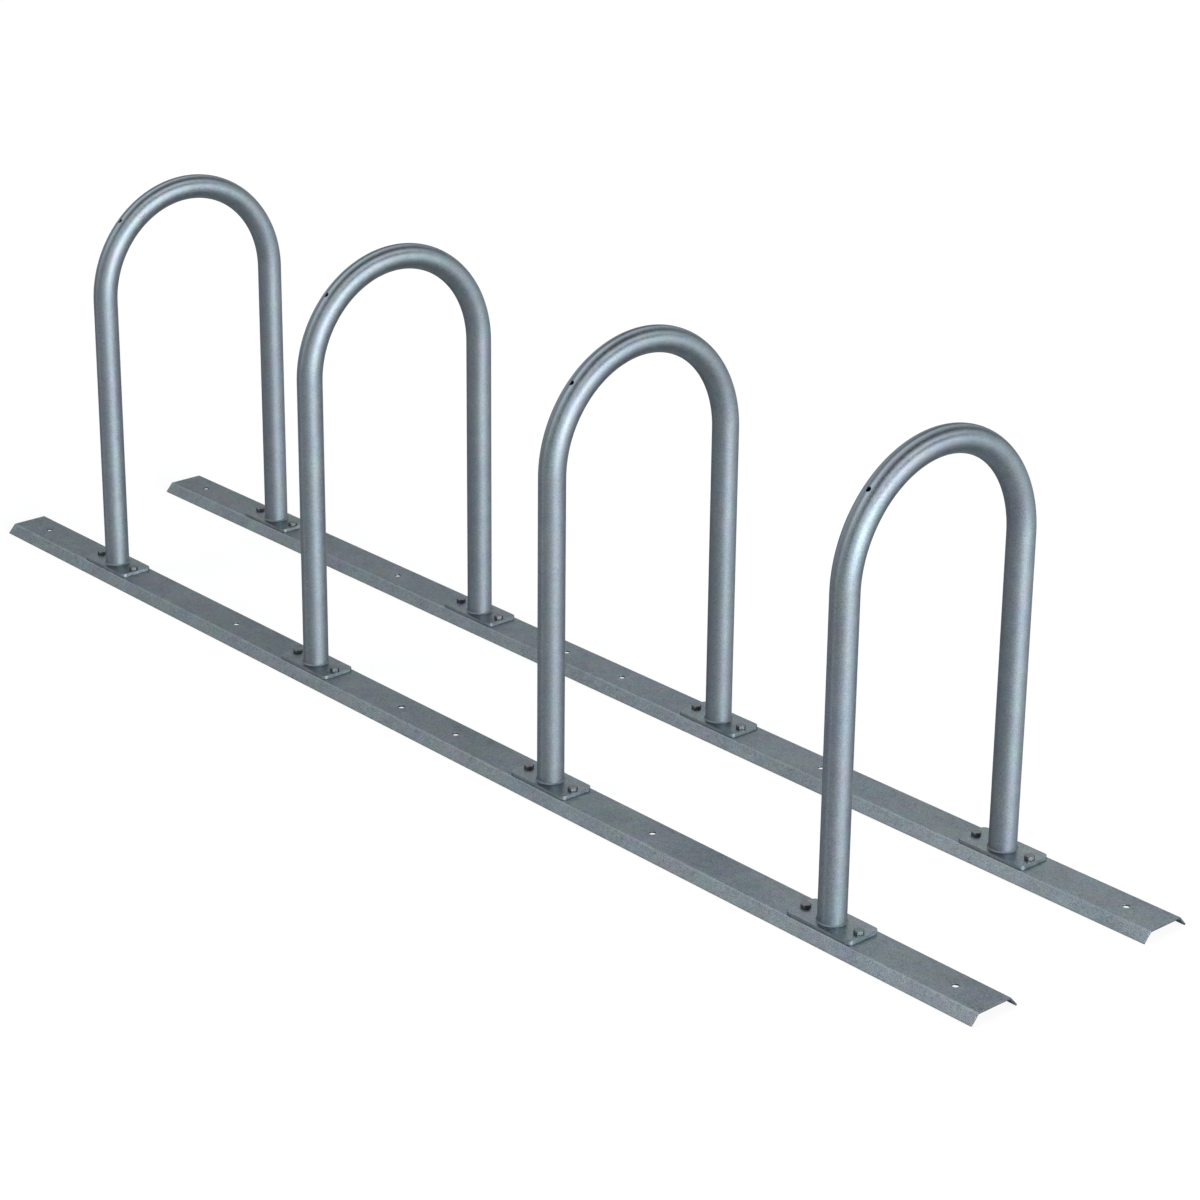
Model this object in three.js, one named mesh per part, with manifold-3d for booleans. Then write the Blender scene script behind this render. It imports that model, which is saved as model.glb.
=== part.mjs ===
// Hoop bike rack: four bent tube hoops bolted down on two folded sheet steel rails, hot-dip galvanised.
// Units are millimetres. X runs along the rails, the front rail lies on the -Y side and Z points up.
// The origin is on the ground in the middle of the rack.
import * as THREE from 'three';
import { mergeVertices } from 'three/addons/utils/BufferGeometryUtils.js';
import Module from 'manifold-3d';

// The rack as a whole.
const HOOP_COUNT = 4;
const HOOP_PITCH = 690;
const RAIL_SPREAD = 407;
const RACK_HEIGHT = 815.5;

// Air left between two pieces that touch on the real rack.
const GAP = 0.3;

// Tube of the hoops, with the hole that lets molten zinc and air through at the front shoulder.
const TUBE_DIAMETER = 48.3;
const TUBE_WALL = 2.9;
const VENT_DIAMETER = 8;
const VENT_ANGLE_FROM_TOP = 45;

// Rails: a flat top between two flanges that are folded down and outwards.
const RAIL_LENGTH = HOOP_COUNT * HOOP_PITCH;
const RAIL_WIDTH = 105.5;
const RAIL_HEIGHT = 19.5;
const SHEET_THICKNESS = 3;
const FOLD_ANGLE = 48;
const FOLD_RADIUS = 4;

// Ground anchor holes, as distances from the middle of the rail, repeated on both sides of it.
const ANCHOR_HOLE_DIAMETER = 12;
const ANCHOR_FROM_MIDDLE = [80, 610, 1300];

// Foot plates.
const PLATE_LENGTH = 144;
const PLATE_WIDTH = 70;
const PLATE_THICKNESS = 6;
const PLATE_CORNER_RADIUS = 10;
const BOLT_SPACING = 118;
const BOLT_HOLE_DIAMETER = 11;
const DRAIN_HOLE_DIAMETER = 20;

// Fillet weld between tube and foot plate.
const WELD_LEG = 4;
const WELD_HOLLOW = 0.3;

// M10 hexagon bolts and flange nuts.
const BOLT_DIAMETER = 10;
const BOLT_LENGTH = 25;
const BOLT_HEAD_FLATS = 16;
const BOLT_HEAD_HEIGHT = 6.4;
const BOLT_TIP_CHAMFER = 1;
const NUT_FLATS = 15;
const NUT_HEIGHT = 10;
const NUT_FLANGE_DIAMETER = 21.4;
const NUT_FLANGE_EDGE = 1.5;
const NUT_FLANGE_HEIGHT = 3;
const HEXAGON_SIDES = 6;
const HEXAGON_CHAMFER_ANGLE = 30;
const HEXAGON_TOP_SHARE = 0.95;

// How finely round shapes are divided.
const TUBE_SIDES = 20;
const TUBE_BORE_SIDES = 10;
const ARCH_STEPS = 20;
const BORE_ARCH_STEPS = 12;
const HOLE_SIDES = 12;
const FASTENER_SIDES = 12;
const ARC_DIVISIONS = 2;
const WELD_FACE_STEPS = 2;

// A cutting shape runs this far past the face that it opens.
const CUT_PAST = 1;

// Corners closer together than this are one corner.
const MERGE_DISTANCE = 1e-4;

// Sizes that follow from the ones above.
const degrees = THREE.MathUtils.degToRad;
const tubeRadius = TUBE_DIAMETER / 2;
const boreRadius = tubeRadius - TUBE_WALL;
const bendRadius = RAIL_SPREAD / 2;
const plateBottom = RAIL_HEIGHT + GAP;
const plateTop = plateBottom + PLATE_THICKNESS;
const tubeFoot = plateTop + GAP;
const archCentreHeight = RACK_HEIGHT - tubeRadius - bendRadius;
const headSeat = plateTop + GAP;
const nutSeat = RAIL_HEIGHT - SHEET_THICKNESS - GAP;

// Galvanised steel in the shade and finish of one kind of piece.
function steel(color, roughness, metalness) {
  return new THREE.MeshStandardMaterial({ color, roughness, metalness });
}

const materials = {
  tube: steel(0x7a838d, 0.42, 0.9),
  rail: steel(0x747b81, 0.45, 0.9),
  plate: steel(0x757c82, 0.4, 0.9),
  weld: steel(0x7a838d, 0.5, 0.9),
  fastener: steel(0x787c7f, 0.35, 0.9),
};

const wasm = await Module();
wasm.setup();

// Turns a closed geometry into a solid that can be joined and cut.
function toSolid(geometry) {
  geometry.deleteAttribute('normal');
  geometry.deleteAttribute('uv');
  const merged = mergeVertices(geometry, MERGE_DISTANCE);
  const mesh = new wasm.Mesh({
    numProp: 3,
    vertProperties: new Float32Array(merged.attributes.position.array),
    triVerts: new Uint32Array(merged.index.array),
  });
  return new wasm.Manifold(mesh);
}

// Turns a solid back into a geometry.
function toGeometry(solid) {
  const mesh = solid.getMesh();
  const geometry = new THREE.BufferGeometry();
  geometry.setAttribute('position', new THREE.BufferAttribute(new Float32Array(mesh.vertProperties), 3));
  geometry.setIndex(new THREE.BufferAttribute(new Uint32Array(mesh.triVerts), 1));
  geometry.computeVertexNormals();
  return geometry;
}

// Upright cylinder between two heights.
function uprightCylinder(radius, low, high, sides) {
  const geometry = new THREE.CylinderGeometry(radius, radius, high - low, sides);
  geometry.rotateX(Math.PI / 2);
  geometry.translate(0, 0, (low + high) / 2);
  return geometry;
}

// Closed profile of [radius, height] points turned about the Z axis.
function turned(profile, sides) {
  const points = profile.map(([radius, height]) => new THREE.Vector2(radius, height));
  const geometry = new THREE.LatheGeometry(points, sides);
  geometry.rotateX(Math.PI / 2);
  return geometry;
}

// Round outline made of straight sides.
function circle(x, y, radius, sides, PathClass) {
  const points = [];
  for (let i = 0; i < sides; i += 1) {
    const angle = (i / sides) * 2 * Math.PI;
    points.push(new THREE.Vector2(x + radius * Math.cos(angle), y + radius * Math.sin(angle)));
  }
  return new PathClass(points);
}

// Centre line of a hoop: up one leg, over the half-round arch and down the other leg. It starts at the
// front foot. The parameter gives each leg one step and the arch the remaining ones.
class HoopLine extends THREE.Curve {
  constructor(foot, steps) {
    super();
    this.foot = foot;
    this.archSteps = steps;
    this.steps = steps + 2;
  }

  // Angle along the arch, 0 at the front spring point and PI at the rear one.
  archAngle(t) {
    return THREE.MathUtils.clamp((t * this.steps - 1) / this.archSteps, 0, 1) * Math.PI;
  }

  getPoint(t, target = new THREE.Vector3()) {
    const angle = this.archAngle(t);
    const y = -bendRadius * Math.cos(angle);
    let z = archCentreHeight + bendRadius * Math.sin(angle);
    const intoLeg = Math.max(1 - t * this.steps, t * this.steps - (this.steps - 1), 0);
    z -= intoLeg * (archCentreHeight - this.foot);
    return target.set(0, y, z);
  }

  getTangent(t, target = new THREE.Vector3()) {
    const angle = this.archAngle(t);
    return target.set(0, Math.sin(angle), Math.cos(angle));
  }

  getPointAt(u, target) {
    return this.getPoint(u, target);
  }

  getTangentAt(u, target) {
    return this.getTangent(u, target);
  }
}

// Round bar of a hoop's full length, bent along its centre line.
function sweptHoop(radius, sides, foot, archSteps) {
  const path = new HoopLine(foot, archSteps);
  const section = circle(0, 0, radius, sides, THREE.Shape);
  return new THREE.ExtrudeGeometry(section, { steps: path.steps, extrudePath: path });
}

// Hollow tube, open at both feet, with the vent hole through its wall on the front shoulder.
function makeHoop() {
  const outside = toSolid(sweptHoop(tubeRadius, TUBE_SIDES, tubeFoot, ARCH_STEPS));
  const inside = toSolid(sweptHoop(boreRadius, TUBE_BORE_SIDES, tubeFoot - CUT_PAST, BORE_ARCH_STEPS));
  const vent = uprightCylinder(VENT_DIAMETER / 2, bendRadius, bendRadius + TUBE_DIAMETER, HOLE_SIDES);
  vent.rotateX(degrees(VENT_ANGLE_FROM_TOP));
  vent.translate(0, 0, archCentreHeight);
  return toGeometry(outside.subtract(inside).subtract(toSolid(vent)));
}

// Section of a rail: x is across the rail, y is up. Both skins of each fold share one centre.
function railSection() {
  const fold = degrees(FOLD_ANGLE);
  const slant = (RAIL_HEIGHT - SHEET_THICKNESS * Math.cos(fold)) / Math.sin(fold);
  const cornerX = RAIL_WIDTH / 2 - slant * Math.cos(fold);
  const centreX = cornerX - FOLD_RADIUS * Math.tan(fold / 2);
  const centreY = RAIL_HEIGHT - FOLD_RADIUS;
  const innerRadius = FOLD_RADIUS - SHEET_THICKNESS;
  const outerTip = [RAIL_WIDTH / 2, RAIL_HEIGHT - slant * Math.sin(fold)];
  const innerTip = [outerTip[0] - SHEET_THICKNESS * Math.sin(fold), 0];
  const up = Math.PI / 2;
  const section = new THREE.Shape();
  section.moveTo(-outerTip[0], outerTip[1]);
  section.lineTo(-innerTip[0], innerTip[1]);
  section.absarc(-centreX, centreY, innerRadius, up + fold, up, true);
  section.absarc(centreX, centreY, innerRadius, up, up - fold, true);
  section.lineTo(innerTip[0], innerTip[1]);
  section.lineTo(outerTip[0], outerTip[1]);
  section.absarc(centreX, centreY, FOLD_RADIUS, up - fold, up, false);
  section.absarc(-centreX, centreY, FOLD_RADIUS, up, up + fold, false);
  return section;
}

// Place of a hoop along the rails.
function hoopX(index) {
  return (index - (HOOP_COUNT - 1) / 2) * HOOP_PITCH;
}

// Folded sheet with its ground anchor holes and the holes for the bolts of all hoops.
function makeRail() {
  const blank = new THREE.ExtrudeGeometry(railSection(), {
    depth: RAIL_LENGTH,
    bevelEnabled: false,
    curveSegments: ARC_DIVISIONS,
  });
  const alongX = new THREE.Matrix4().makeBasis(
    new THREE.Vector3(0, 1, 0),
    new THREE.Vector3(0, 0, 1),
    new THREE.Vector3(1, 0, 0),
  );
  blank.applyMatrix4(alongX);
  blank.translate(-RAIL_LENGTH / 2, 0, 0);
  let rail = toSolid(blank);
  const drill = (x, diameter) => {
    const hole = uprightCylinder(diameter / 2, 0, RAIL_HEIGHT + CUT_PAST, HOLE_SIDES);
    hole.translate(x, 0, 0);
    rail = rail.subtract(toSolid(hole));
  };
  for (const distance of ANCHOR_FROM_MIDDLE) {
    drill(-distance, ANCHOR_HOLE_DIAMETER);
    drill(distance, ANCHOR_HOLE_DIAMETER);
  }
  for (let index = 0; index < HOOP_COUNT; index += 1) {
    drill(hoopX(index) - BOLT_SPACING / 2, BOLT_HOLE_DIAMETER);
    drill(hoopX(index) + BOLT_SPACING / 2, BOLT_HOLE_DIAMETER);
  }
  return toGeometry(rail);
}

// Flat plate with rounded corners, two bolt holes and the drain hole under the tube.
function makePlate() {
  const cornerX = PLATE_LENGTH / 2 - PLATE_CORNER_RADIUS;
  const cornerY = PLATE_WIDTH / 2 - PLATE_CORNER_RADIUS;
  const corners = [[cornerX, cornerY], [-cornerX, cornerY], [-cornerX, -cornerY], [cornerX, -cornerY]];
  const outline = new THREE.Shape();
  corners.forEach(([x, y], quarter) => {
    const start = (quarter * Math.PI) / 2;
    outline.absarc(x, y, PLATE_CORNER_RADIUS, start, start + Math.PI / 2, false);
  });
  for (const side of [-1, 1]) {
    const x = (side * BOLT_SPACING) / 2;
    outline.holes.push(circle(x, 0, BOLT_HOLE_DIAMETER / 2, HOLE_SIDES, THREE.Path));
  }
  outline.holes.push(circle(0, 0, DRAIN_HOLE_DIAMETER / 2, HOLE_SIDES, THREE.Path));
  const plate = new THREE.ExtrudeGeometry(outline, {
    depth: PLATE_THICKNESS,
    bevelEnabled: false,
    curveSegments: ARC_DIVISIONS,
  });
  plate.translate(0, 0, plateBottom);
  return plate;
}

// Fillet weld: a ring with a slightly hollow face between the plate and the tube.
function makeWeld() {
  const inner = tubeRadius + GAP;
  const bottom = plateTop + GAP;
  const profile = [[inner, bottom]];
  for (let i = 0; i <= WELD_FACE_STEPS; i += 1) {
    const share = i / WELD_FACE_STEPS;
    const pull = 4 * share * (1 - share) * WELD_HOLLOW;
    profile.push([inner + WELD_LEG * (1 - share) - pull, bottom + WELD_LEG * share - pull]);
  }
  profile.push(profile[0]);
  return turned(profile, TUBE_SIDES);
}

// Hexagon standing on z = 0 with two corners along X, its upper edge cut off by a cone.
function hexagonSolid(flats, height) {
  const cornerRadius = flats / Math.sqrt(3);
  const topRadius = (flats / 2) * HEXAGON_TOP_SHARE;
  const wideRadius = cornerRadius + CUT_PAST;
  const coneDrop = (wideRadius - topRadius) * Math.tan(degrees(HEXAGON_CHAMFER_ANGLE));
  const profile = [
    [0, -CUT_PAST],
    [wideRadius, -CUT_PAST],
    [wideRadius, height - coneDrop],
    [topRadius, height],
    [0, height],
  ];
  const hexagon = uprightCylinder(cornerRadius, 0, height, HEXAGON_SIDES);
  hexagon.rotateZ(Math.PI / HEXAGON_SIDES);
  return toSolid(hexagon).intersect(toSolid(turned(profile, FASTENER_SIDES)));
}

// Hexagon bolt, its head on the foot plate and its shank down through plate and rail.
function makeBolt() {
  const radius = BOLT_DIAMETER / 2;
  const intoHead = BOLT_HEAD_HEIGHT / 2;
  const profile = [
    [0, -BOLT_LENGTH],
    [radius - BOLT_TIP_CHAMFER, -BOLT_LENGTH],
    [radius, BOLT_TIP_CHAMFER - BOLT_LENGTH],
    [radius, intoHead],
    [0, intoHead],
  ];
  const shank = toSolid(turned(profile, FASTENER_SIDES));
  const bolt = toGeometry(hexagonSolid(BOLT_HEAD_FLATS, BOLT_HEAD_HEIGHT).add(shank));
  bolt.translate(0, 0, headSeat);
  return bolt;
}

// Flange nut, upside down against the underside of the rail.
function makeNut() {
  const flangeRadius = NUT_FLANGE_DIAMETER / 2;
  const profile = [
    [0, 0],
    [flangeRadius, 0],
    [flangeRadius, NUT_FLANGE_EDGE],
    [NUT_FLATS / 2, NUT_FLANGE_HEIGHT],
    [0, NUT_FLANGE_HEIGHT],
  ];
  const flange = toSolid(turned(profile, FASTENER_SIDES));
  const nutBoreRadius = BOLT_DIAMETER / 2 + GAP;
  const bore = toSolid(uprightCylinder(nutBoreRadius, -CUT_PAST, NUT_HEIGHT + CUT_PAST, FASTENER_SIDES));
  const nut = toGeometry(hexagonSolid(NUT_FLATS, NUT_HEIGHT).add(flange).subtract(bore));
  nut.rotateX(Math.PI);
  nut.translate(0, 0, nutSeat);
  return nut;
}

// One named piece of the rack.
function piece(name, geometry, material) {
  const mesh = new THREE.Mesh(geometry, material);
  mesh.name = name;
  return mesh;
}

const shapes = {
  rail: makeRail(),
  hoop: makeHoop(),
  plate: makePlate(),
  weld: makeWeld(),
  bolt: makeBolt(),
  nut: makeNut(),
};
const sides = [
  { name: 'front', y: -RAIL_SPREAD / 2 },
  { name: 'rear', y: RAIL_SPREAD / 2 },
];
const ends = [
  { name: 'left', x: -BOLT_SPACING / 2 },
  { name: 'right', x: BOLT_SPACING / 2 },
];

const rack = new THREE.Group();

for (const side of sides) {
  const rail = piece(`rail_${side.name}`, shapes.rail, materials.rail);
  rail.position.y = side.y;
  rack.add(rail);
}

// One hoop with everything that holds it to the rails.
for (let index = 0; index < HOOP_COUNT; index += 1) {
  const number = index + 1;
  const bay = new THREE.Group();
  bay.position.x = hoopX(index);
  bay.add(piece(`hoop_${number}`, shapes.hoop, materials.tube));
  for (const side of sides) {
    const foot = new THREE.Group();
    foot.position.y = side.y;
    foot.add(piece(`foot_plate_${side.name}_${number}`, shapes.plate, materials.plate));
    foot.add(piece(`weld_${side.name}_${number}`, shapes.weld, materials.weld));
    for (const end of ends) {
      const bolt = piece(`bolt_${side.name}_${number}_${end.name}`, shapes.bolt, materials.fastener);
      const nut = piece(`nut_${side.name}_${number}_${end.name}`, shapes.nut, materials.fastener);
      bolt.position.x = end.x;
      nut.position.x = end.x;
      foot.add(bolt, nut);
    }
    bay.add(foot);
  }
  rack.add(bay);
}

export default rack;
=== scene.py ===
import math

import bmesh
import bpy
import numpy as np
from mathutils import Matrix, Vector
from mathutils.geometry import delaunay_2d_cdt


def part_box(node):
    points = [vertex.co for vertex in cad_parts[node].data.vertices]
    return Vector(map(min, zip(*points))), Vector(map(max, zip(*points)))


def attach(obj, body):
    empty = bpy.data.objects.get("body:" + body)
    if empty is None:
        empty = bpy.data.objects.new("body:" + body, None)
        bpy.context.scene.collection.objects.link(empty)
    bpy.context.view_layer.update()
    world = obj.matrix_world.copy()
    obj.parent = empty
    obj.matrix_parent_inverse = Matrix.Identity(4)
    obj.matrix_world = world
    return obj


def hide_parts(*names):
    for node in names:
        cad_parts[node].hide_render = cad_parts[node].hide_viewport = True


# Hoop bike rack: four bent tube hoops on foot plates, bolted down on two folded rails, hot-dip galvanised.
# X runs along the rails, -Y is the front and Z is up. Sizes are millimetres until a mesh is made.
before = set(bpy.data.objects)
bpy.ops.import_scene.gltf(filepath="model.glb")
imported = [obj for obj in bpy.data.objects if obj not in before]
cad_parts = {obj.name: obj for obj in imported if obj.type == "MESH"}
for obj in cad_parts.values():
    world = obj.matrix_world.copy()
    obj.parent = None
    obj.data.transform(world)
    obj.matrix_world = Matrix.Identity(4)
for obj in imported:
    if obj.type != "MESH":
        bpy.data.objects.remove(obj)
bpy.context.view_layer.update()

MM = 0.001

# Parts of the nodes' names.
HOOP_NAMES = ["hoop_1", "hoop_2", "hoop_3", "hoop_4"]
SIDES = ["front", "rear"]
HANDS = ["left", "right"]


def cad_extent(node):
    """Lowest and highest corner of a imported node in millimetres."""
    low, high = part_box(node)
    return np.array(low) / MM, np.array(high) / MM


# Tube of the hoops.
TUBE_RADIUS = 48.3 / 2
TUBE_WALL = 2.9
TUBE_SIDES = 64
ARCH_STEPS = 96
LEG_STEPS = 6
VENT_RADIUS = 4.7
VENT_ANGLE = math.radians(45)
VENT_RIM = 0.2
VENT_RIM_TURNS = np.radians([30, 60, 90])
# The skin round the vent is a square of this many cells, filled by rings at these shares of its size.
VENT_CELL = 2.4
VENT_CELLS = 8
VENT_RINGS = (0.6, 0.3, 0.1, 0.0)

# Rails.
RAIL_FOLD = math.radians(48)
RAIL_FOLD_RADIUS = 3.2
SHEET_THICKNESS = 3.0
FOLD_STEPS = 8
ANCHOR_HOLE_RADIUS = 6.0
ANCHOR_FROM_MIDDLE = [80, 610, 1300]
BOLT_HOLE_RADIUS = 5.5
HOLE_CELL = 24.0
HOLE_SIDES = 48

# Foot plates and welds.
PLATE_CORNER_RADIUS = 10.0
PLATE_CORNER_STEPS = 10
DRAIN_HOLE_RADIUS = 10.0
WELD_LEG = 2.2
WELD_SIDES = 240
WELD_STEPS = 12
WELD_RIPPLES = 64
WELD_RIPPLE_HEIGHT = 0.07
WELD_RIPPLE_LEAN = 2.2
WELD_UNEVEN = 0.04
WELD_WAVES = 8
WELD_SEEDS = {"front": 40, "rear": 50}
# How far a weld reaches into the tube and into the plate.
WELD_IN_TUBE = 0.3
WELD_IN_PLATE = 0.2

# Bolts and nuts.
BOLT_SPACING = 118.0
BOLT_RADIUS = 5.0
BOLT_TIP = [(3.8, 0.0), (4.2, 0.3)]
THREAD_START = 0.9
THREAD_PITCH = 1.5
THREAD_DEPTH = 0.8
THREAD_ROWS = 6
HEAD_FLATS = 16.0
HEAD_HEIGHT = 6.4
HEAD_WASHER_RADIUS = 7.44
HEAD_WASHER_HEIGHT = 0.4
NUT_FLATS = 15.0
NUT_FLANGE_RADIUS = 10.7
NUT_FLANGE_EDGE = 1.5
NUT_FLANGE_SOFT = 0.3
NUT_HEXAGON_START = 3.0
NUT_MOUTH = 0.6
# Hexagons: the columns over one side in degrees from its corner, half of a side's turn, the radius of the
# corners, the softness of the edges, and the slope of the turned upper edge and where it starts.
HEXAGON_COLUMNS = (8, 16, 23, 30, 37, 44, 52)
HEXAGON_HALF = math.radians(30)
HEXAGON_CORNER = 0.35
HEXAGON_SOFT = 0.15
HEXAGON_SLOPE = math.radians(30)
HEXAGON_RIM = 0.95

# Edges: their rounding, and the angles between faces from which they are rounded or shaded sharp.
EDGE_BEVEL = 0.25
EDGE_SEGMENTS = 3
BEVEL_FROM = math.radians(35)
SHARP_FROM = math.radians(50)
# Points of a piece that are closer than this many metres become one.
MERGE_DISTANCE = 1e-6
# A face is upright, and so a cut edge, where its normal rises by less than this.
UPRIGHT_BELOW = 0.5

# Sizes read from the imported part.
rail_low, rail_high = cad_extent("rail_front")
hoop_low, hoop_high = cad_extent("hoop_1")
plate_low, plate_high = cad_extent("foot_plate_front_1")
RAIL_TOP = rail_high[2]
RAIL_LENGTH = rail_high[0] - rail_low[0]
RAIL_WIDTH = rail_high[1] - rail_low[1]
PLATE_TOP = plate_high[2]
PLATE_LENGTH = plate_high[0] - plate_low[0]
PLATE_WIDTH = plate_high[1] - plate_low[1]
BEND_RADIUS = (hoop_high[1] - hoop_low[1]) / 2 - TUBE_RADIUS
ARCH_CENTRE = hoop_high[2] - TUBE_RADIUS - BEND_RADIUS
HOOP_X = [float(np.mean([corner[0] for corner in cad_extent(name)])) for name in HOOP_NAMES]
LINE_Y = {"front": -BEND_RADIUS, "rear": BEND_RADIUS}

# Height that a rail's outer skin falls over a flange, and how far its folds lie from its middle.
FLANGE_DROP = RAIL_TOP - SHEET_THICKNESS * math.cos(RAIL_FOLD)
FOLD_CORNER = RAIL_WIDTH / 2 - FLANGE_DROP / math.tan(RAIL_FOLD)


class Builder:
    """Gathers the points and faces of one piece, in millimetres."""

    def __init__(self):
        self.points = []
        self.faces = []

    def row(self, points):
        first = len(self.points)
        self.points.extend(tuple(float(v) for v in p) for p in points)
        return list(range(first, len(self.points)))

    def bridge(self, a, b):
        for i in range(len(a)):
            j = (i + 1) % len(a)
            self.faces.append((a[i], a[j], b[j], b[i]))

    def fan(self, row, point):
        centre = self.row([point])[0]
        for i in range(len(row)):
            self.faces.append((row[i], row[(i + 1) % len(row)], centre))

    def face(self, points):
        self.faces.append(tuple(self.row(points)))

    def move(self, x, y):
        self.points = [(p[0] + x, p[1] + y, p[2]) for p in self.points]

    def piece(self, name, nodes, material, bevel=0.0, cut_edge=None):
        """Makes the object, closes its seams and lets it ride on the rack.

        Where a cut_edge material is given, the upright faces take it."""
        mesh = bpy.data.meshes.new(name)
        mesh.from_pydata([Vector(p) * MM for p in self.points], [], self.faces)
        work = bmesh.new()
        work.from_mesh(mesh)
        bmesh.ops.remove_doubles(work, verts=work.verts, dist=MERGE_DISTANCE)
        bmesh.ops.recalc_face_normals(work, faces=work.faces)
        work.to_mesh(mesh)
        work.free()
        mesh.shade_smooth()
        mesh.set_sharp_from_angle(angle=SHARP_FROM)
        mesh.materials.append(material)
        if cut_edge:
            mesh.materials.append(cut_edge)
            for face in mesh.polygons:
                face.material_index = int(abs(face.normal.z) < UPRIGHT_BELOW)
        obj = bpy.data.objects.new(name, mesh)
        bpy.context.scene.collection.objects.link(obj)
        if bevel:
            edge = obj.modifiers.new("edge", "BEVEL")
            edge.width = bevel * MM
            edge.segments = EDGE_SEGMENTS
            edge.limit_method = "ANGLE"
            edge.angle_limit = BEVEL_FROM
            edge.use_clamp_overlap = True
        shade = obj.modifiers.new("shade", "WEIGHTED_NORMAL")
        shade.keep_sharp = not bevel
        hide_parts(*nodes)
        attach(obj, "root")


def circle(x, y, radius, count):
    turns = np.arange(count) / count * 2 * math.pi
    return np.stack([x + radius * np.cos(turns), y + radius * np.sin(turns)], 1)


# Points of a face's outlines that are closer than this become one. A triangle is outside a hole where its
# middle is at least this share of the hole's radius away from the hole's middle.
OUTLINE_MERGE = 1e-5
HOLE_SHARE = 0.995


def holed_face(builder, outline, holes, z):
    """Fills a convex outline, leaving its round holes open. A hole is (x, y, radius)."""
    loops = [np.asarray(outline)] + [circle(x, y, r, HOLE_SIDES) for x, y, r in holes]
    flat, edges = [], []
    for loop in loops:
        first = len(flat)
        flat.extend(Vector(p) for p in loop)
        edges.extend((first + i, first + (i + 1) % len(loop)) for i in range(len(loop)))
    points, _, triangles, *_ = delaunay_2d_cdt(flat, edges, [], 0, OUTLINE_MERGE)
    for triangle in triangles:
        corners = [points[i] for i in triangle]
        middle = sum(corners, Vector((0, 0))) / 3
        if all((middle - Vector((x, y))).length > r * HOLE_SHARE for x, y, r in holes):
            builder.face([(p.x, p.y, z) for p in corners])


# Materials. Scales are cells or waves per metre of the patterns in the zinc coat.
SPANGLE_SCALE = 150.0
GRAIN_SCALE = 680.0
SPECK_SCALE = 170.0
BLOTCH_SCALE = 60.0
CLOUD_SCALE = 12.0
TINT_SCALE = 25.0
TINT_STRENGTH = 0.05
SCRATCH_ROUND = 70.0
SCRATCH_ALONG = 700.0
SCRATCH_STRENGTH = 0.045

# A noise stays near one half, so its strength counts this many times.
NOISE_GAIN = 4
# Dull specks are where their noise rises through these levels.
SPECK_FROM = 0.62
SPECK_FULL = 0.70
# Share of the unevenness of the gloss that a spangle cell has.
CRYSTAL_GLOSS = 0.25
# The patterns never take the colour below this share of itself.
DARKEST = 0.25
# Relief of the coat: its strength, its height in metres and how much the blotches count in it.
RELIEF = 0.12
RELIEF_HEIGHT = 0.0002
RELIEF_BLOTCHES = 2.0

# Tint of the zinc where it is seen along its face: duller than clean metal, which turns white there.
GLANCING = (0.5, 0.5, 0.5, 1.0)

# The rails' lowest few millimetres are darkened: painted contact shade where they stand on the ground.
FOOT_SHADE_HEIGHT = 4.0

# A painted highlight lies along a rail's folds: how far it reaches to either side, and its strength.
FOLD_HIGHLIGHT_REACH = 2.6
FOLD_HIGHLIGHT_STRENGTH = 0.24

# Painted reflections and painted shade along a hoop's bend: light and dark stripes that stand in for
# reflections of the studio, and broad darker bands that stand in for shade. In degrees, each has its place
# round the tube from the outside of the bend, its half width, its change of the colour, the place along the
# arch where it is strongest, and its half length. Past LINE_TURN_FROM along the arch they turn round the
# tube. The rows come from a least-squares fit to the tones along the photographed hoops.
LINE_TURN_FROM = math.radians(60)
LINE_TURN = 0.27
BEND_REFLECTIONS_AND_SHADE = [
    (-23, 18, 0.52, 37, 60),
    (-7, 11, -0.37, 78, 52),
    (7, 10, 0.57, 58, 90),
    (26, 12, -0.66, 65, 75),
    (43, 10, 0.48, 78, 41),
    (51, 14, -0.44, 74, 52),
    (67, 36, -0.19, 41, 33),
    (110, 31, -0.29, 44, 94),
    (15, 48, -0.25, 112, 55),
    (101, 34, -0.32, 106, 77),
]


def new_material(name):
    material = bpy.data.materials.new(name)
    material.use_nodes = True
    tree = material.node_tree
    tree.nodes.clear()
    return material, tree


def math_node(tree, operation, a, b):
    node = tree.nodes.new("ShaderNodeMath")
    node.operation = operation
    for socket, value in zip(node.inputs, (a, b)):
        if isinstance(value, (int, float)):
            socket.default_value = value
        else:
            tree.links.new(value, socket)
    return node.outputs[0]


def noise(tree, place, scale, detail, roughness=0.55, output="Fac"):
    node = tree.nodes.new("ShaderNodeTexNoise")
    node.inputs["Scale"].default_value = scale
    node.inputs["Detail"].default_value = detail
    node.inputs["Roughness"].default_value = roughness
    tree.links.new(place, node.inputs["Vector"])
    return node.outputs[output]


def vector_node(tree, operation, a, b=None, scale=None):
    node = tree.nodes.new("ShaderNodeVectorMath")
    node.operation = operation
    for socket, value in ((node.inputs[0], a), (node.inputs[1], b)):
        if isinstance(value, tuple):
            socket.default_value = value
        elif value is not None:
            tree.links.new(value, socket)
    if isinstance(scale, float):
        node.inputs["Scale"].default_value = scale
    elif scale is not None:
        tree.links.new(scale, node.inputs["Scale"])
    return node.outputs["Vector"]


def add_up(tree, terms):
    """Adds up (socket, weight) pairs, each socket taken as its difference from one half."""
    total = None
    for socket, weight in terms:
        term = math_node(tree, "MULTIPLY", math_node(tree, "SUBTRACT", socket, 0.5), weight)
        total = term if total is None else math_node(tree, "ADD", total, term)
    return total


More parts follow.
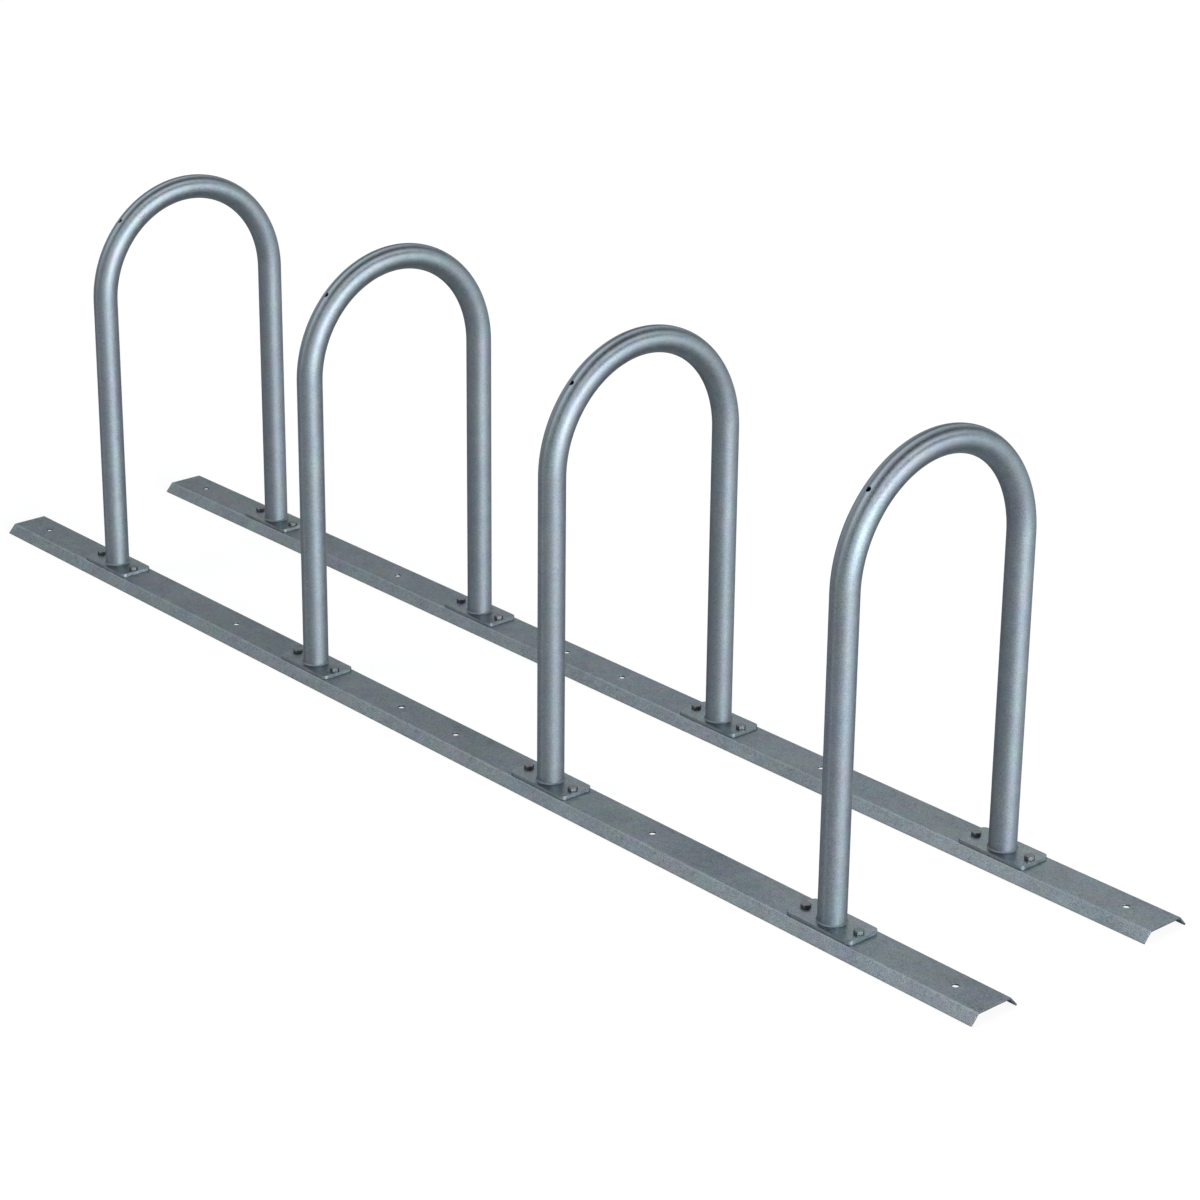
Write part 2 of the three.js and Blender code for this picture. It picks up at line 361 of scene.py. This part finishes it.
def pulse(tree, value, middle, half_width, strength):
    """A soft hump of the given strength where value lies near middle."""
    away = math_node(tree, "ABSOLUTE", math_node(tree, "SUBTRACT", value, middle), 0.0)
    hump = tree.nodes.new("ShaderNodeMapRange")
    hump.interpolation_type = "SMOOTHSTEP"
    hump.inputs["From Min"].default_value = 0.0
    hump.inputs["From Max"].default_value = half_width
    hump.inputs["To Min"].default_value = strength
    hump.inputs["To Max"].default_value = 0.0
    tree.links.new(away, hump.inputs["Value"])
    return hump.outputs[0]


def bend_light_and_scratches(tree, place):
    """Painted reflections and shade along a hoop's bend, and real fine scratches round the tube."""
    axes = tree.nodes.new("ShaderNodeSeparateXYZ")
    tree.links.new(place, axes.inputs[0])
    x, y, z = axes.outputs
    pitch = (HOOP_X[1] - HOOP_X[0]) * MM
    start = (HOOP_X[0] * MM - pitch / 2) % pitch
    across = math_node(tree, "FLOORED_MODULO", math_node(tree, "SUBTRACT", x, start), pitch)
    across = math_node(tree, "SUBTRACT", across, pitch / 2)
    above = math_node(tree, "SUBTRACT", z, ARCH_CENTRE * MM)
    rise = math_node(tree, "MAXIMUM", above, 0.0)
    drop = math_node(tree, "MINIMUM", above, 0.0)
    y_square = math_node(tree, "MULTIPLY", y, y)
    squares = math_node(tree, "ADD", y_square, math_node(tree, "MULTIPLY", rise, rise))
    out = math_node(tree, "SUBTRACT", math_node(tree, "SQRT", squares, 0.0), BEND_RADIUS * MM)
    turn = math_node(tree, "ARCTAN2", across, out)
    along = math_node(tree, "ARCTAN2", rise, math_node(tree, "MULTIPLY", y, -1.0))
    drift = math_node(tree, "MAXIMUM", math_node(tree, "SUBTRACT", along, LINE_TURN_FROM), 0.0)
    drift = math_node(tree, "MULTIPLY", drift, LINE_TURN)
    drifted = math_node(tree, "SUBTRACT", turn, drift)
    # Each row paints a light or dark stripe standing in for a reflection, or a broad band of painted shade.
    painted_bend_light = None
    for middle, half_width, strength, crest, half_length in BEND_REFLECTIONS_AND_SHADE:
        line = pulse(tree, drifted, math.radians(middle), math.radians(half_width), strength)
        fade = pulse(tree, along, math.radians(crest), math.radians(half_length), 1.0)
        line = math_node(tree, "MULTIPLY", line, fade)
        painted_bend_light = line if painted_bend_light is None else math_node(tree, "ADD", painted_bend_light, line)

    length = math_node(tree, "ADD", math_node(tree, "MULTIPLY", along, BEND_RADIUS * MM), drop)
    scratch = tree.nodes.new("ShaderNodeCombineXYZ")
    tree.links.new(math_node(tree, "MULTIPLY", across, SCRATCH_ROUND), scratch.inputs[0])
    tree.links.new(math_node(tree, "MULTIPLY", out, SCRATCH_ROUND), scratch.inputs[1])
    tree.links.new(math_node(tree, "MULTIPLY", length, SCRATCH_ALONG), scratch.inputs[2])
    scratches = noise(tree, scratch.outputs[0], 1.0, 2.0)
    return painted_bend_light, scratches


def galvanised(name, colour, spangle, grain, blotch, cloud, rough, uneven, speck=0.0, tube=False, foot=0.0):
    """Zinc coat: spangle cells and fine grain, blotches a finger wide, clouds a hand wide and dull specks.

    The strengths say how far each pattern moves the colour, as a share of it. A tube also gets painted
    reflections and painted shade along its bend, and real scratches round it. foot is the strength of a
    painted contact shade along a rail's lowest edge, and also turns on a painted highlight along its folds."""
    material, tree = new_material(name)
    shader = tree.nodes.new("ShaderNodeBsdfPrincipled")
    tree.links.new(shader.outputs[0], tree.nodes.new("ShaderNodeOutputMaterial").inputs["Surface"])
    shader.inputs["Metallic"].default_value = 1.0
    shader.inputs["Specular Tint"].default_value = GLANCING
    place = tree.nodes.new("ShaderNodeTexCoord").outputs["Object"]

    cells = tree.nodes.new("ShaderNodeTexVoronoi")
    cells.inputs["Scale"].default_value = SPANGLE_SCALE
    tree.links.new(place, cells.inputs["Vector"])
    parts = tree.nodes.new("ShaderNodeSeparateColor")
    tree.links.new(cells.outputs["Color"], parts.inputs[0])
    crystals = parts.outputs[0]
    clouds = noise(tree, place, CLOUD_SCALE, 3.0)
    blotches = noise(tree, place, BLOTCH_SCALE, 3.0)
    grains = noise(tree, place, GRAIN_SCALE, 2.0, 0.6)

    noises = [(grains, grain), (blotches, blotch), (clouds, cloud)]
    change = add_up(tree, [(crystals, spangle)] + [(n, NOISE_GAIN * strength) for n, strength in noises])
    gloss = add_up(tree, [(grains, uneven), (blotches, uneven), (crystals, uneven * CRYSTAL_GLOSS)])
    if speck:
        spots = noise(tree, place, SPECK_SCALE, 2.0, 0.4)
        dull = tree.nodes.new("ShaderNodeMapRange")
        dull.inputs["From Min"].default_value = SPECK_FROM
        dull.inputs["From Max"].default_value = SPECK_FULL
        dull.inputs["To Max"].default_value = -speck
        tree.links.new(spots, dull.inputs["Value"])
        change = math_node(tree, "ADD", change, dull.outputs[0])
    if foot:
        axes = tree.nodes.new("ShaderNodeSeparateXYZ")
        tree.links.new(place, axes.inputs[0])
        # Painted contact shade along the rail's lowest edge.
        change = math_node(tree, "ADD", change, pulse(tree, axes.outputs[2], 0.0, FOOT_SHADE_HEIGHT * MM, -foot))
        from_rack = math_node(tree, "ABSOLUTE", axes.outputs[1], 0.0)
        from_rail = math_node(tree, "SUBTRACT", from_rack, BEND_RADIUS * MM)
        from_rail = math_node(tree, "ABSOLUTE", from_rail, 0.0)
        # Painted highlight along each fold of the rail.
        fold_highlight = pulse(tree, from_rail, FOLD_CORNER * MM, FOLD_HIGHLIGHT_REACH * MM, FOLD_HIGHLIGHT_STRENGTH)
        change = math_node(tree, "ADD", change, fold_highlight)
    if tube:
        # Painted reflections and painted shade along the bend, then real scratches round the tube.
        painted_bend_light, scratches = bend_light_and_scratches(tree, place)
        change = math_node(tree, "ADD", change, painted_bend_light)
        scratched = add_up(tree, [(scratches, NOISE_GAIN * SCRATCH_STRENGTH)])
        change = math_node(tree, "ADD", change, scratched)
        gloss = math_node(tree, "ADD", gloss, add_up(tree, [(scratches, uneven)]))

    amount = math_node(tree, "MAXIMUM", math_node(tree, "ADD", change, 1.0), DARKEST)
    hues = noise(tree, place, TINT_SCALE, 2.0, 0.5, "Color")
    tint = vector_node(tree, "SUBTRACT", hues, (0.5, 0.5, 0.5))
    tinted = vector_node(tree, "ADD", vector_node(tree, "SCALE", tint, scale=TINT_STRENGTH), colour)
    shade = vector_node(tree, "SCALE", tinted, scale=amount)
    tree.links.new(shade, shader.inputs["Base Color"])
    tree.links.new(math_node(tree, "ADD", gloss, rough), shader.inputs["Roughness"])

    bump = tree.nodes.new("ShaderNodeBump")
    bump.inputs["Strength"].default_value = RELIEF
    bump.inputs["Distance"].default_value = RELIEF_HEIGHT
    height = math_node(tree, "ADD", grains, math_node(tree, "MULTIPLY", blotches, RELIEF_BLOTCHES))
    tree.links.new(height, bump.inputs["Height"])
    tree.links.new(bump.outputs[0], shader.inputs["Normal"])
    return material


# Colour of each part's zinc where the camera meets it square on, and its patterns.
tube_steel = galvanised(
    "galvanised_tube", (0.156, 0.183, 0.205), spangle=0.06, grain=0.42, blotch=0.03, cloud=0.04,
    rough=0.57, uneven=0.08, tube=True,
)
rail_steel = galvanised(
    "galvanised_rail", (0.153, 0.179, 0.197), spangle=0.12, grain=0.62, blotch=0.06, cloud=0.07,
    rough=0.40, uneven=0.12, speck=0.2, foot=0.4,
)
plate_steel = galvanised(
    "galvanised_plate", (0.170, 0.198, 0.214), spangle=0.10, grain=0.50, blotch=0.06, cloud=0.06,
    rough=0.37, uneven=0.10,
)
edge_steel = galvanised(
    "galvanised_edge", (0.190, 0.220, 0.238), spangle=0.10, grain=0.30, blotch=0.08, cloud=0.06,
    rough=0.48, uneven=0.12,
)
weld_steel = galvanised(
    "galvanised_weld", (0.122, 0.143, 0.160), spangle=0.08, grain=0.20, blotch=0.10, cloud=0.05,
    rough=0.62, uneven=0.15,
)
bolt_steel = galvanised(
    "zinc_bolt", (0.152, 0.164, 0.171), spangle=0.04, grain=0.12, blotch=0.06, cloud=0.03,
    rough=0.42, uneven=0.10,
)

# Hoops.
VENT_OUT = np.array([0, -math.cos(VENT_ANGLE), math.sin(VENT_ANGLE)])
VENT_ALONG = np.array([0, math.sin(VENT_ANGLE), math.cos(VENT_ANGLE)])


def arch_frame(angle):
    """Centre line point and outward direction at an angle along the arch, 0 at the front leg."""
    outward = np.array([0, -math.cos(angle), math.sin(angle)])
    return np.array([0, 0, ARCH_CENTRE]) + BEND_RADIUS * outward, outward


def vent_surface(radius, x, t):
    """Point on the bend's outer side, x across and t along the tube from the vent's axis."""
    reach = BEND_RADIUS + np.sqrt(radius**2 - x**2)
    height = np.sqrt(reach**2 - t**2)
    return np.array([x, 0, ARCH_CENTRE]) + height * VENT_OUT + t * VENT_ALONG


def hoop_skin(builder, radius):
    """Skin of a hoop with a window round the vent. Returns both end rings and the window's border."""
    half = VENT_CELLS / 2 * VENT_CELL / (BEND_RADIUS + TUBE_RADIUS)
    window = np.linspace(VENT_ANGLE - half, VENT_ANGLE + half, VENT_CELLS + 1)
    step = math.pi / ARCH_STEPS
    before = np.linspace(0, window[0], int(window[0] / step) + 1)[:-1]
    after = np.linspace(window[-1], math.pi, int((math.pi - window[-1]) / step) + 1)[1:]
    angles = np.concatenate([before, window, after])
    frames = [arch_frame(a) for a in angles]
    drops = np.linspace(PLATE_TOP - ARCH_CENTRE, 0, LEG_STEPS + 1)[:-1]
    first, last = frames[0], frames[-1]
    frames = (
        [(first[0] + [0, 0, d], first[1]) for d in drops]
        + frames
        + [(last[0] + [0, 0, d], last[1]) for d in drops[::-1]]
    )
    turns = np.arange(TUBE_SIDES) / TUBE_SIDES * 2 * math.pi
    rings = []
    for centre, outward in frames:
        ring = centre + radius * (np.cos(turns)[:, None] * [1, 0, 0] + np.sin(turns)[:, None] * outward)
        rings.append(builder.row(ring))
    row = LEG_STEPS + len(before)
    column = TUBE_SIDES // 4 - VENT_CELLS // 2
    for i in range(len(rings) - 1):
        for j in range(TUBE_SIDES):
            if row <= i < row + VENT_CELLS and column <= j < column + VENT_CELLS:
                continue
            k = (j + 1) % TUBE_SIDES
            builder.faces.append((rings[i][j], rings[i][k], rings[i + 1][k], rings[i + 1][j]))
    far_row, far_column = row + VENT_CELLS, column + VENT_CELLS
    border = (
        [rings[row][j] for j in range(column, far_column)]
        + [rings[i][far_column] for i in range(row, far_row)]
        + [rings[far_row][j] for j in range(far_column, column, -1)]
        + [rings[i][column] for i in range(far_row, row, -1)]
    )
    return rings[0], rings[-1], border


def vent_patch(builder, border, radius, rim):
    """Fills the window down to a round rim and returns the rim's ring and its directions."""
    spots = np.array([builder.points[i] for i in border]) - [0, 0, ARCH_CENTRE]
    flat = np.stack([spots[:, 0], spots @ VENT_ALONG], 1)
    directions = flat / np.linalg.norm(flat, axis=1)[:, None]
    outer = border
    for share in VENT_RINGS:
        place = flat * share + directions * rim * (1 - share)
        ring = builder.row([vent_surface(radius, x, t) for x, t in place])
        builder.bridge(outer, ring)
        outer = ring
    return outer, directions


def make_hoop(name, x):
    builder = Builder()
    outside = hoop_skin(builder, TUBE_RADIUS)
    inside = hoop_skin(builder, TUBE_RADIUS - TUBE_WALL)
    builder.bridge(outside[0], inside[0])
    builder.bridge(outside[1], inside[1])
    ring, directions = vent_patch(builder, outside[2], TUBE_RADIUS, VENT_RADIUS + VENT_RIM)
    for turn in VENT_RIM_TURNS:
        reach = VENT_RADIUS + VENT_RIM * (1 - math.sin(turn))
        depth = VENT_RIM * (1 - math.cos(turn))
        places = [vent_surface(TUBE_RADIUS, *(d * reach)) - depth * VENT_OUT for d in directions]
        lower = builder.row(places)
        builder.bridge(ring, lower)
        ring = lower
    bore_rim, _ = vent_patch(builder, inside[2], TUBE_RADIUS - TUBE_WALL, VENT_RADIUS)
    builder.bridge(ring, bore_rim)
    builder.move(x, 0)
    builder.piece(f"{name}_detail", [name], tube_steel)


for name, x in zip(HOOP_NAMES, HOOP_X):
    make_hoop(name, x)


# Rails.


def rail_profile():
    """Outer skin of the section as (y, z, tilt), tilt being how far its normal leans towards +Y."""
    centre = FOLD_CORNER - RAIL_FOLD_RADIUS * math.tan(RAIL_FOLD / 2)
    half = []
    for turn in np.linspace(0, RAIL_FOLD, FOLD_STEPS + 1):
        fall = RAIL_FOLD_RADIUS * (1 - math.cos(turn))
        half.append((centre + RAIL_FOLD_RADIUS * math.sin(turn), RAIL_TOP - fall, turn))
    half.append((RAIL_WIDTH / 2, RAIL_TOP - FLANGE_DROP, RAIL_FOLD))
    return [(-y, z, -tilt) for y, z, tilt in half[::-1]] + half


def make_rail(side):
    builder = Builder()
    profile = rail_profile()
    outer = [np.array([0, y, z]) for y, z, _ in profile]
    inner = [
        np.array([0, y - SHEET_THICKNESS * math.sin(tilt), z - SHEET_THICKNESS * math.cos(tilt)])
        for y, z, tilt in profile
    ]
    flat = len(profile) // 2 - 1
    edge = profile[flat + 1][0]
    holes = [(sign * d, 0, ANCHOR_HOLE_RADIUS) for d in ANCHOR_FROM_MIDDLE for sign in (-1, 1)]
    holes += [(x + sign * BOLT_SPACING / 2, 0, BOLT_HOLE_RADIUS) for x in HOOP_X for sign in (-1, 1)]
    stops = {-RAIL_LENGTH / 2, RAIL_LENGTH / 2}
    for x, _, _ in holes:
        stops |= {x - HOLE_CELL / 2, x + HOLE_CELL / 2}
    stops = sorted(stops)
    for x0, x1 in zip(stops, stops[1:]):
        here = [h for h in holes if x0 < h[0] < x1]
        for skin, z in ((outer, RAIL_TOP), (inner, RAIL_TOP - SHEET_THICKNESS)):
            for i, (a, b) in enumerate(zip(skin, skin[1:])):
                if i == flat and here:
                    outline = [(x0, -edge), (x1, -edge), (x1, edge), (x0, edge)]
                    holed_face(builder, outline, here, z)
                else:
                    builder.face([a + [x0, 0, 0], a + [x1, 0, 0], b + [x1, 0, 0], b + [x0, 0, 0]])
        for i in (0, -1):
            a, b = outer[i], inner[i]
            builder.face([a + [x0, 0, 0], a + [x1, 0, 0], b + [x1, 0, 0], b + [x0, 0, 0]])
    for x in (stops[0], stops[-1]):
        for a, b, c, d in zip(outer, outer[1:], inner[1:], inner):
            builder.face([p + [x, 0, 0] for p in (a, b, c, d)])
    for x, y, radius in holes:
        loop = circle(x, y, radius, HOLE_SIDES)
        top = builder.row([(*p, RAIL_TOP) for p in loop])
        bottom = builder.row([(*p, RAIL_TOP - SHEET_THICKNESS) for p in loop])
        builder.bridge(top, bottom)
    builder.move(0, LINE_Y[side])
    builder.piece(f"rail_{side}_detail", [f"rail_{side}"], rail_steel, EDGE_BEVEL)


# Foot plates and welds.


def make_plate(side, number, x):
    builder = Builder()
    outline = []
    for quarter, (sx, sy) in enumerate([(1, 1), (-1, 1), (-1, -1), (1, -1)]):
        cx = sx * (PLATE_LENGTH / 2 - PLATE_CORNER_RADIUS)
        cy = sy * (PLATE_WIDTH / 2 - PLATE_CORNER_RADIUS)
        for turn in np.linspace(0, math.pi / 2, PLATE_CORNER_STEPS + 1) + quarter * math.pi / 2:
            right, back = PLATE_CORNER_RADIUS * math.cos(turn), PLATE_CORNER_RADIUS * math.sin(turn)
            outline.append((cx + right, cy + back))
    holes = [
        (-BOLT_SPACING / 2, 0, BOLT_HOLE_RADIUS),
        (0, 0, DRAIN_HOLE_RADIUS),
        (BOLT_SPACING / 2, 0, BOLT_HOLE_RADIUS),
    ]
    for z in (RAIL_TOP, PLATE_TOP):
        holed_face(builder, outline, holes, z)
    for loop in [outline] + [circle(*hole, HOLE_SIDES) for hole in holes]:
        top = builder.row([(*p, PLATE_TOP) for p in loop])
        bottom = builder.row([(*p, RAIL_TOP) for p in loop])
        builder.bridge(top, bottom)
    builder.move(x, LINE_Y[side])
    node = f"foot_plate_{side}_{number}"
    builder.piece(f"{node}_detail", [node], plate_steel, EDGE_BEVEL, edge_steel)


def make_weld(side, number, x):
    """Fillet ring with the small crescents that a weld bead leaves."""
    builder = Builder()
    turns = np.arange(WELD_SIDES) / WELD_SIDES * 2 * math.pi
    rng = np.random.default_rng(WELD_SEEDS[side] + number)
    waves = sum(
        rng.uniform(-1, 1) * np.cos(k * turns + rng.uniform(0, 2 * math.pi)) / k
        for k in range(1, WELD_WAVES + 1)
    )
    leg = WELD_LEG * (1 + WELD_UNEVEN * waves)
    inner = TUBE_RADIUS - WELD_IN_TUBE
    rows = [[(inner, PLATE_TOP - WELD_IN_PLATE)] * WELD_SIDES]
    for share in np.linspace(0, 1, WELD_STEPS + 1):
        lean = math.sin(math.pi * share)
        ripple = WELD_RIPPLE_HEIGHT * np.sin(WELD_RIPPLES * turns + WELD_RIPPLE_LEAN * lean) * lean
        reach = leg * (1 - share) + ripple
        rise = leg * share + ripple
        rows.append(list(zip(TUBE_RADIUS + reach, PLATE_TOP + rise)))
    rows.append([(inner, PLATE_TOP + WELD_LEG)] * WELD_SIDES)
    rings = []
    for row in rows:
        places = [(r * math.cos(a), r * math.sin(a), z) for (r, z), a in zip(row, turns)]
        rings.append(builder.row(places))
    for a, b in zip(rings, rings[1:] + rings[:1]):
        builder.bridge(a, b)
    builder.move(x, LINE_Y[side])
    node = f"weld_{side}_{number}"
    builder.piece(f"{node}_detail", [node], weld_steel)


# Bolts and nuts.


def hexagon_columns(flats):
    """Angles round a hexagon with rounded corners, and its radius at each. Corners point along X."""
    middle = (flats / 2 - HEXAGON_CORNER) / math.cos(HEXAGON_HALF)
    reach = math.atan2(
        HEXAGON_CORNER * math.sin(HEXAGON_HALF), middle + HEXAGON_CORNER * math.cos(HEXAGON_HALF)
    )
    offsets = [-reach, -reach / 2, 0, reach / 2, reach] + [math.radians(d) for d in HEXAGON_COLUMNS]
    angles, radii = [], []
    for corner in range(6):
        for offset in offsets:
            if abs(offset) <= reach:
                beside = middle * math.sin(offset)
                radius = middle * math.cos(offset) + math.sqrt(HEXAGON_CORNER**2 - beside**2)
            else:
                radius = flats / 2 / math.cos(offset - HEXAGON_HALF)
            angles.append(corner * math.pi / 3 + offset)
            radii.append(radius)
    return np.array(angles), np.array(radii)


def hexagon_rows(radii, flats, low, high):
    """Rows of (radius, height) up a hexagon's side and over its turned upper edge."""
    rim = flats / 2 * HEXAGON_RIM
    top = high - (radii - rim) * math.tan(HEXAGON_SLOPE)
    soft = HEXAGON_SOFT
    return [
        (radii - soft, np.full_like(radii, low)),
        (radii, np.full_like(radii, low + soft)),
        (radii, top - soft),
        (radii - soft * 0.4, top),
        (np.full_like(radii, rim + soft), np.full_like(radii, high - soft * 0.6)),
        (np.full_like(radii, rim - soft), np.full_like(radii, high)),
    ]


def turned_rows(profile, count):
    """The same rows for a round profile of (radius, height) pairs, with count columns."""
    return [(np.full(count, float(r)), np.full(count, float(z))) for r, z in profile]


def thread_rows(angles, low, high):
    """Rows of a helical thread that fades out at its upper end."""
    rows = []
    for z in np.arange(low, high, THREAD_PITCH / THREAD_ROWS):
        phase = (z / THREAD_PITCH - angles / (2 * math.pi)) % 1
        depth = THREAD_DEPTH * (1 - np.abs(2 * phase - 1))
        depth *= min(1.0, (high - z) / THREAD_PITCH)
        rows.append((BOLT_RADIUS - depth, np.full_like(angles, z)))
    return rows


def turn_rows(builder, angles, rows):
    """Joins the rows into one skin and returns its lowest and highest ring."""
    rings = []
    for radii, heights in rows:
        rings.append(builder.row(np.stack([radii * np.cos(angles), radii * np.sin(angles), heights], 1)))
    for a, b in zip(rings, rings[1:]):
        builder.bridge(a, b)
    return rings[0], rings[-1]


def make_bolt(node, x, y, low):
    builder = Builder()
    angles, radii = hexagon_columns(HEAD_FLATS)
    count = len(angles)
    seat = RAIL_TOP - SHEET_THICKNESS
    head = PLATE_TOP + HEAD_WASHER_HEIGHT
    shank = [(BOLT_RADIUS, seat), (BOLT_RADIUS, PLATE_TOP)]
    washer = [(HEAD_WASHER_RADIUS, PLATE_TOP), (HEAD_WASHER_RADIUS, head)]
    rows = turned_rows([(r, low + z) for r, z in BOLT_TIP], count)
    rows += thread_rows(angles, low + THREAD_START, seat)
    rows += turned_rows(shank + washer, count)
    rows += hexagon_rows(radii, HEAD_FLATS, head, PLATE_TOP + HEAD_HEIGHT)
    first, last = turn_rows(builder, angles, rows)
    builder.fan(first, (0, 0, low))
    builder.fan(last, (0, 0, PLATE_TOP + HEAD_HEIGHT))
    builder.move(x, y)
    builder.piece(f"{node}_detail", [node], bolt_steel)


def make_nut(node, x, y, low):
    builder = Builder()
    angles, radii = hexagon_columns(NUT_FLATS)
    count = len(angles)
    seat = RAIL_TOP - SHEET_THICKNESS
    flange = [
        (BOLT_RADIUS, seat),
        (NUT_FLANGE_RADIUS, seat),
        (NUT_FLANGE_RADIUS, seat - NUT_FLANGE_EDGE),
        (NUT_FLANGE_RADIUS - NUT_FLANGE_SOFT, seat - NUT_FLANGE_EDGE - NUT_FLANGE_SOFT),
    ]
    bore = [(BOLT_RADIUS + NUT_MOUTH, low), (BOLT_RADIUS, low + NUT_MOUTH), (BOLT_RADIUS, seat)]
    hexagon = hexagon_rows(radii, NUT_FLATS, NUT_HEXAGON_START, seat - low)
    rows = turned_rows(flange, count)
    rows += [(radii + NUT_FLANGE_SOFT, np.full(count, seat - NUT_HEXAGON_START))]
    rows += [(r, seat - z) for r, z in hexagon[1:]]
    rows += turned_rows(bore, count)
    turn_rows(builder, angles, rows)
    builder.move(x, y)
    builder.piece(f"{node}_detail", [node], bolt_steel)


for side in SIDES:
    make_rail(side)
    for number, hoop_x in enumerate(HOOP_X, 1):
        make_plate(side, number, hoop_x)
        make_weld(side, number, hoop_x)
        for hand, sign in zip(HANDS, (-1, 1)):
            bolt_x = hoop_x + sign * BOLT_SPACING / 2
            bolt = f"bolt_{side}_{number}_{hand}"
            nut = f"nut_{side}_{number}_{hand}"
            make_bolt(bolt, bolt_x, LINE_Y[side], cad_extent(bolt)[0][2])
            make_nut(nut, bolt_x, LINE_Y[side], cad_extent(nut)[0][2])


# Floor, light and camera.


def white_where_seen(tree, lit, white, share, mirrored_share, output):
    """Shows plain white by the given shares to the camera and in reflections, and else the lit shader."""
    white.inputs["Color"].default_value = (1, 1, 1, 1)
    white.inputs["Strength"].default_value = 1.0
    path = tree.nodes.new("ShaderNodeLightPath")
    rays = path.outputs
    mirrored = math_node(tree, "MAXIMUM", rays["Is Glossy Ray"], rays["Is Transmission Ray"])
    mirrored = math_node(tree, "MULTIPLY", mirrored, mirrored_share)
    seen = math_node(tree, "MULTIPLY", rays["Is Camera Ray"], share)
    mix = tree.nodes.new("ShaderNodeMixShader")
    tree.links.new(math_node(tree, "MAXIMUM", seen, mirrored), mix.inputs[0])
    tree.links.new(lit.outputs[0], mix.inputs[1])
    tree.links.new(white.outputs[0], mix.inputs[2])
    tree.links.new(mix.outputs[0], tree.nodes.new(output).inputs["Surface"])


FLOOR_HALF = 40.0
FLOOR_WHITE_SHARE = 0.88
FLOOR_MIRRORED_SHARE = 0.1
# The floor's own paleness, and how much paler the camera sees it.
FLOOR_PALE = 0.56
FLOOR_PALER = 0.42
corners = [(-FLOOR_HALF, -FLOOR_HALF, 0), (FLOOR_HALF, -FLOOR_HALF, 0)]
corners += [(FLOOR_HALF, FLOOR_HALF, 0), (-FLOOR_HALF, FLOOR_HALF, 0)]
floor_mesh = bpy.data.meshes.new("floor")
floor_mesh.from_pydata(corners, [], [(0, 1, 2, 3)])
floor = bpy.data.objects.new("floor", floor_mesh)
bpy.context.scene.collection.objects.link(floor)
floor_material, tree = new_material("floor")
floor_mesh.materials.append(floor_material)
pale = tree.nodes.new("ShaderNodeBsdfDiffuse")
camera_ray = tree.nodes.new("ShaderNodeLightPath").outputs["Is Camera Ray"]
paler = math_node(tree, "MULTIPLY", camera_ray, FLOOR_PALER)
tree.links.new(math_node(tree, "ADD", paler, FLOOR_PALE), pale.inputs["Color"])
white = tree.nodes.new("ShaderNodeEmission")
white_where_seen(tree, pale, white, FLOOR_WHITE_SHARE, FLOOR_MIRRORED_SHARE, "ShaderNodeOutputMaterial")

world = bpy.data.worlds.new("studio")
bpy.context.scene.world = world
world.use_nodes = True
tree = world.node_tree
tree.nodes.clear()
lit = tree.nodes.new("ShaderNodeBackground")
lit.inputs["Color"].default_value = (0.94, 0.97, 1.0, 1)
lit.inputs["Strength"].default_value = 0.5
white = tree.nodes.new("ShaderNodeBackground")
white_where_seen(tree, lit, white, 1.0, 1.0, "ShaderNodeOutputWorld")


def distant_light(name, azimuth, elevation, spread, level, colour=(1, 1, 1)):
    """Broad light from far away. At level 1 it shows a white face turned to it as white."""
    data = bpy.data.lights.new(name, "SUN")
    data.angle = math.radians(spread)
    data.energy = level * math.pi
    data.color = colour
    light = bpy.data.objects.new(name, data)
    turn, rise = math.radians(azimuth), math.radians(elevation)
    towards = Vector((math.cos(rise) * math.cos(turn), math.cos(rise) * math.sin(turn), math.sin(rise)))
    light.rotation_euler = towards.to_track_quat("Z", "Y").to_euler()
    bpy.context.scene.collection.objects.link(light)


COOL_WHITE = (0.98, 1.0, 1.02)
distant_light("key", -5, 6, 34, 3.35, COOL_WHITE)
distant_light("side", 42, 4, 26, 0.22, COOL_WHITE)
distant_light("fill", -116, 51, 27, 0.21)
distant_light("back", 115, 40, 44, 0.10)
distant_light("top", 174, 56, 20, 0.07)

# Camera of the photograph, solved in a 1200 x 1200 frame. F is the focal length in pixels.
IMAGE = 1200
F = 3111.04
AXIS = (504.657, 492.417)
CAMERA_PLACE = (4.10940, -3.45808, 2.36765)
YAW, PITCH, ROLL = (math.radians(v) for v in (50.082, 19.949, -0.05))
ahead = Vector((-math.sin(YAW) * math.cos(PITCH), math.cos(YAW) * math.cos(PITCH), -math.sin(PITCH)))
level = Vector((math.cos(YAW), math.sin(YAW), 0))
upright = level.cross(ahead)
right = math.cos(ROLL) * level + math.sin(ROLL) * upright
up = math.cos(ROLL) * upright - math.sin(ROLL) * level
camera_data = bpy.data.cameras.new("camera")
camera_data.sensor_width = 36
camera_data.lens = F / IMAGE * camera_data.sensor_width
camera_data.shift_x = (IMAGE / 2 - AXIS[0]) / IMAGE
camera_data.shift_y = (AXIS[1] - IMAGE / 2) / IMAGE
camera_data.clip_end = 200
camera = bpy.data.objects.new("camera", camera_data)
camera.matrix_world = Matrix(
    (
        (right.x, up.x, -ahead.x, CAMERA_PLACE[0]),
        (right.y, up.y, -ahead.y, CAMERA_PLACE[1]),
        (right.z, up.z, -ahead.z, CAMERA_PLACE[2]),
        (0, 0, 0, 1),
    )
)
bpy.context.scene.collection.objects.link(camera)
bpy.context.scene.camera = camera
bpy.context.scene.view_settings.view_transform = "Standard"
